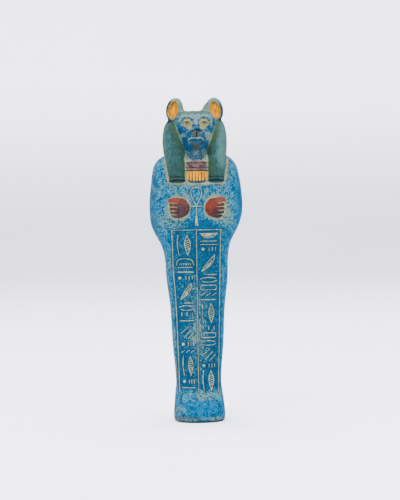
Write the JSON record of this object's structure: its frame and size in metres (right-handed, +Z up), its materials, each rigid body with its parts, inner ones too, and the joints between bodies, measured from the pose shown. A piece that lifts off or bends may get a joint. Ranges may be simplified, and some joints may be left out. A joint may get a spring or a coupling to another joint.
{
  "type": "ushabti figurine",
  "caption": "Standing mummy-shaped figurine with a lioness head, long wig, fists on the chest, an ankh and a framed panel of carved strokes, in worn blue paint.",
  "frame": {"origin": "middle of the figure's outline, on the plane of its sole", "axes": "+Z up from the sole to the ears, +X towards the viewer's right, -Y the way the face and feet point"},
  "size_m": [0.061, 0.0464, 0.2099],
  "materials": {
    "painted_stone": "worn matt blue paint, rubbed back to cream stone in the carving"
  },
  "bodies": {
    "root": {"figurine": "painted_stone"}
  },
  "joints": []
}
